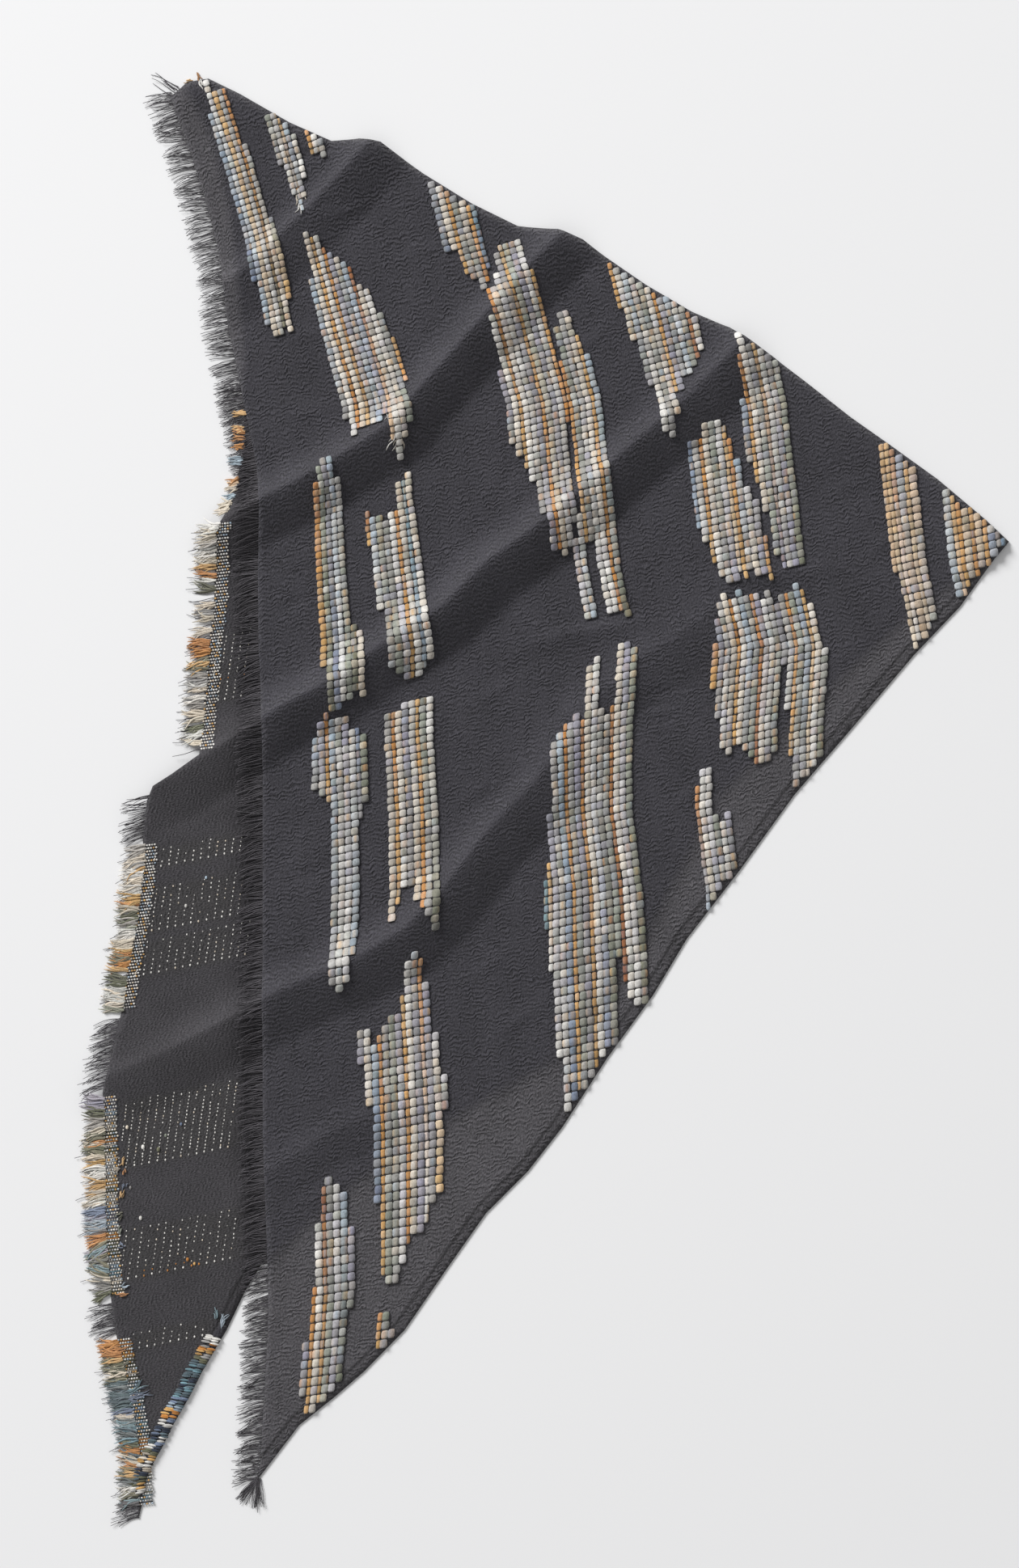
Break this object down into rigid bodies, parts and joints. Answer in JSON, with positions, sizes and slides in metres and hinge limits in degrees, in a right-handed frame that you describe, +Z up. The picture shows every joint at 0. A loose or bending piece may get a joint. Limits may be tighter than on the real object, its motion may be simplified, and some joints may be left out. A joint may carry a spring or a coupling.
{
  "type": "triangle scarf",
  "caption": "Triangle scarf of crinkled dark gauze with broken stripes of thick multicoloured floating yarn and fringed edges, folded in two and laid flat.",
  "frame": {"origin": "middle of the bounding box's underside, on the surface that the scarf lies on", "axes": "+Z up from the surface, +X to the right of the laid scarf as seen from above, towards the corner where the fold meets the hemmed edge, and +Y towards the cloth's square corner at the far end of the fringed edge"},
  "size_m": [0.588, 0.9079, 0.0187],
  "materials": {
    "gauze": "matt crinkled charcoal gauze",
    "gauze_reverse": "matt charcoal gauze, reverse",
    "dark_fringe": "matt thin charcoal yarn",
    "yarn_ends": "soft thick yarn ends in many colours",
    "stripe_yarn": "soft thick floating yarn in many colours"
  },
  "bodies": {
    "root": {"fringe_first": "yarn_ends", "fringe_first_dark": "dark_fringe", "fringe_fourth": "yarn_ends", "fringe_second": "yarn_ends", "fringe_second_dark": "dark_fringe", "fringe_third": "yarn_ends", "fringe_third_dark": "dark_fringe", "fringe_upper": "dark_fringe", "hem_lower": "gauze_reverse", "lower_layer": "gauze_reverse", "stripe_01": "stripe_yarn", "stripe_02": "stripe_yarn", "stripe_03": "stripe_yarn", "stripe_04": "stripe_yarn", "stripe_05": "stripe_yarn", "stripe_06": "stripe_yarn", "stripe_07": "stripe_yarn", "stripe_08": "stripe_yarn", "stripe_09": "stripe_yarn", "stripe_10": "stripe_yarn", "stripe_11": "stripe_yarn", "stripe_12": "stripe_yarn", "stripe_13": "stripe_yarn", "stripe_14": "stripe_yarn", "stripe_15": "stripe_yarn", "stripe_16": "stripe_yarn", "stripe_17": "stripe_yarn", "stripe_18": "stripe_yarn", "stripe_19": "stripe_yarn", "stripe_20": "stripe_yarn", "stripe_21": "stripe_yarn", "stripe_22": "stripe_yarn", "stripe_23": "stripe_yarn", "upper_layer": "gauze"}
  },
  "joints": []
}
